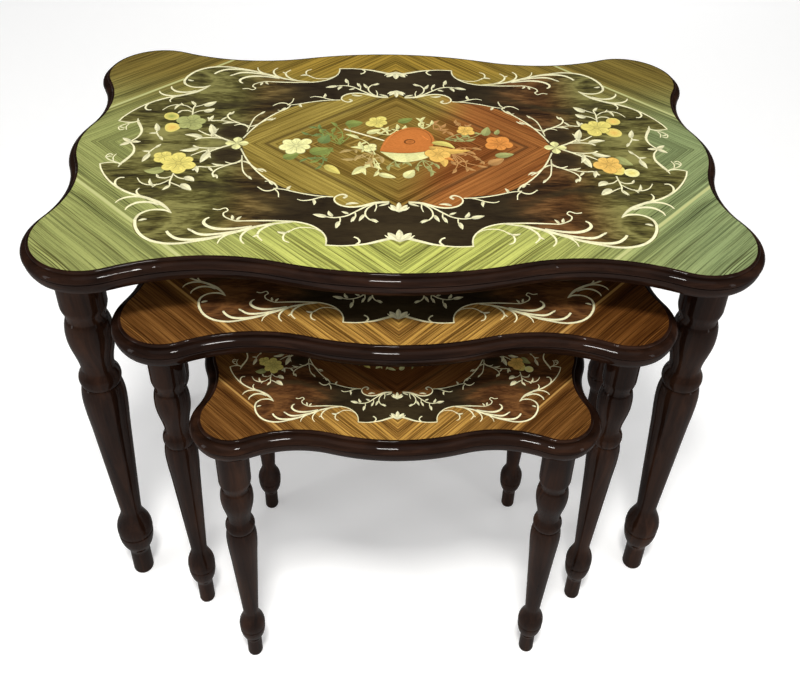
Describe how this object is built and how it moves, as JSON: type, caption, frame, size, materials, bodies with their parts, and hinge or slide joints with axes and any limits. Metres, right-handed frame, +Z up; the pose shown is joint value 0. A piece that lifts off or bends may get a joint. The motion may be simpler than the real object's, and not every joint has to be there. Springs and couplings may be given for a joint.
{
  "type": "nesting tables",
  "caption": "Nest of scalloped side tables with marquetry tops, moulded dark edges and turned legs; the smaller tables slide out from under the large one.",
  "frame": {"origin": "on the floor, at the centre of the whole nest's box as it stands with the smaller tables part way out", "axes": "+Z up, +X along the long sides to the right as seen from the front, -Y towards the front, where the smaller tables pull out"},
  "size_m": [0.5974, 0.4324, 0.486],
  "materials": {
    "dark_polished_wood": "very dark mahogany brown, high gloss lacquer",
    "underside_wood": "plain stained board, satin",
    "border_veneer_green": "green-stained striped veneer, diamond matched, gloss lacquer",
    "border_veneer_brown": "golden brown striped veneer, diamond matched, gloss lacquer",
    "cartouche_veneer_green": "dark burr veneer, olive at the ends, with inlaid scrolls and flowers, gloss lacquer",
    "cartouche_veneer_brown": "dark burr veneer with inlaid scrolls and flowers, gloss lacquer",
    "medallion_veneer": "brown striped veneer, diamond matched, with inlaid bouquet, gloss lacquer",
    "inlay_woods": "inlaid light woods, cream, yellow, orange and green, sand shaded, gloss lacquer",
    "zinc_steel": "zinc plated",
    "brass_insert": "turned brass"
  },
  "bodies": {
    "large_table": {"large_board": "underside_wood", "large_lipping_front": "dark_polished_wood", "large_lipping_back": "dark_polished_wood", "large_lipping_left": "dark_polished_wood", "large_lipping_right": "dark_polished_wood", "large_veneer_border": "border_veneer_green", "large_veneer_cartouche": "cartouche_veneer_green", "large_veneer_medallion": "medallion_veneer", "large_leg_front_left": "dark_polished_wood", "large_leg_front_right": "dark_polished_wood", "large_leg_back_left": "dark_polished_wood", "large_leg_back_right": "dark_polished_wood", "large_leg_bolts": "zinc_steel", "large_leg_inserts": "brass_insert"},
    "middle_table": {"middle_board": "underside_wood", "middle_lipping_front": "dark_polished_wood", "middle_lipping_back": "dark_polished_wood", "middle_lipping_left": "dark_polished_wood", "middle_lipping_right": "dark_polished_wood", "middle_veneer_border": "border_veneer_brown", "middle_veneer_cartouche": "cartouche_veneer_brown", "middle_veneer_medallion": "medallion_veneer", "middle_leg_front_left": "dark_polished_wood", "middle_leg_front_right": "dark_polished_wood", "middle_leg_back_left": "dark_polished_wood", "middle_leg_back_right": "dark_polished_wood", "middle_leg_bolts": "zinc_steel", "middle_leg_inserts": "brass_insert"},
    "small_table": {"small_board": "underside_wood", "small_lipping_front": "dark_polished_wood", "small_lipping_back": "dark_polished_wood", "small_lipping_left": "dark_polished_wood", "small_lipping_right": "dark_polished_wood", "small_veneer_border": "border_veneer_brown", "small_veneer_cartouche": "cartouche_veneer_brown", "small_veneer_medallion": "medallion_veneer", "small_leg_front_left": "dark_polished_wood", "small_leg_front_right": "dark_polished_wood", "small_leg_back_left": "dark_polished_wood", "small_leg_back_right": "dark_polished_wood", "small_leg_bolts": "zinc_steel", "small_leg_inserts": "brass_insert"}
  },
  "joints": [
    {"name": "middle_table_slide", "type": "slide", "parent": "large_table", "child": "middle_table", "axis": [0, -1, 0], "range_m": [-0.053, 0.305]},
    {"name": "small_table_slide", "type": "slide", "parent": "large_table", "child": "small_table", "axis": [0, -1, 0], "range_m": [-0.13, 0.5]}
  ]
}
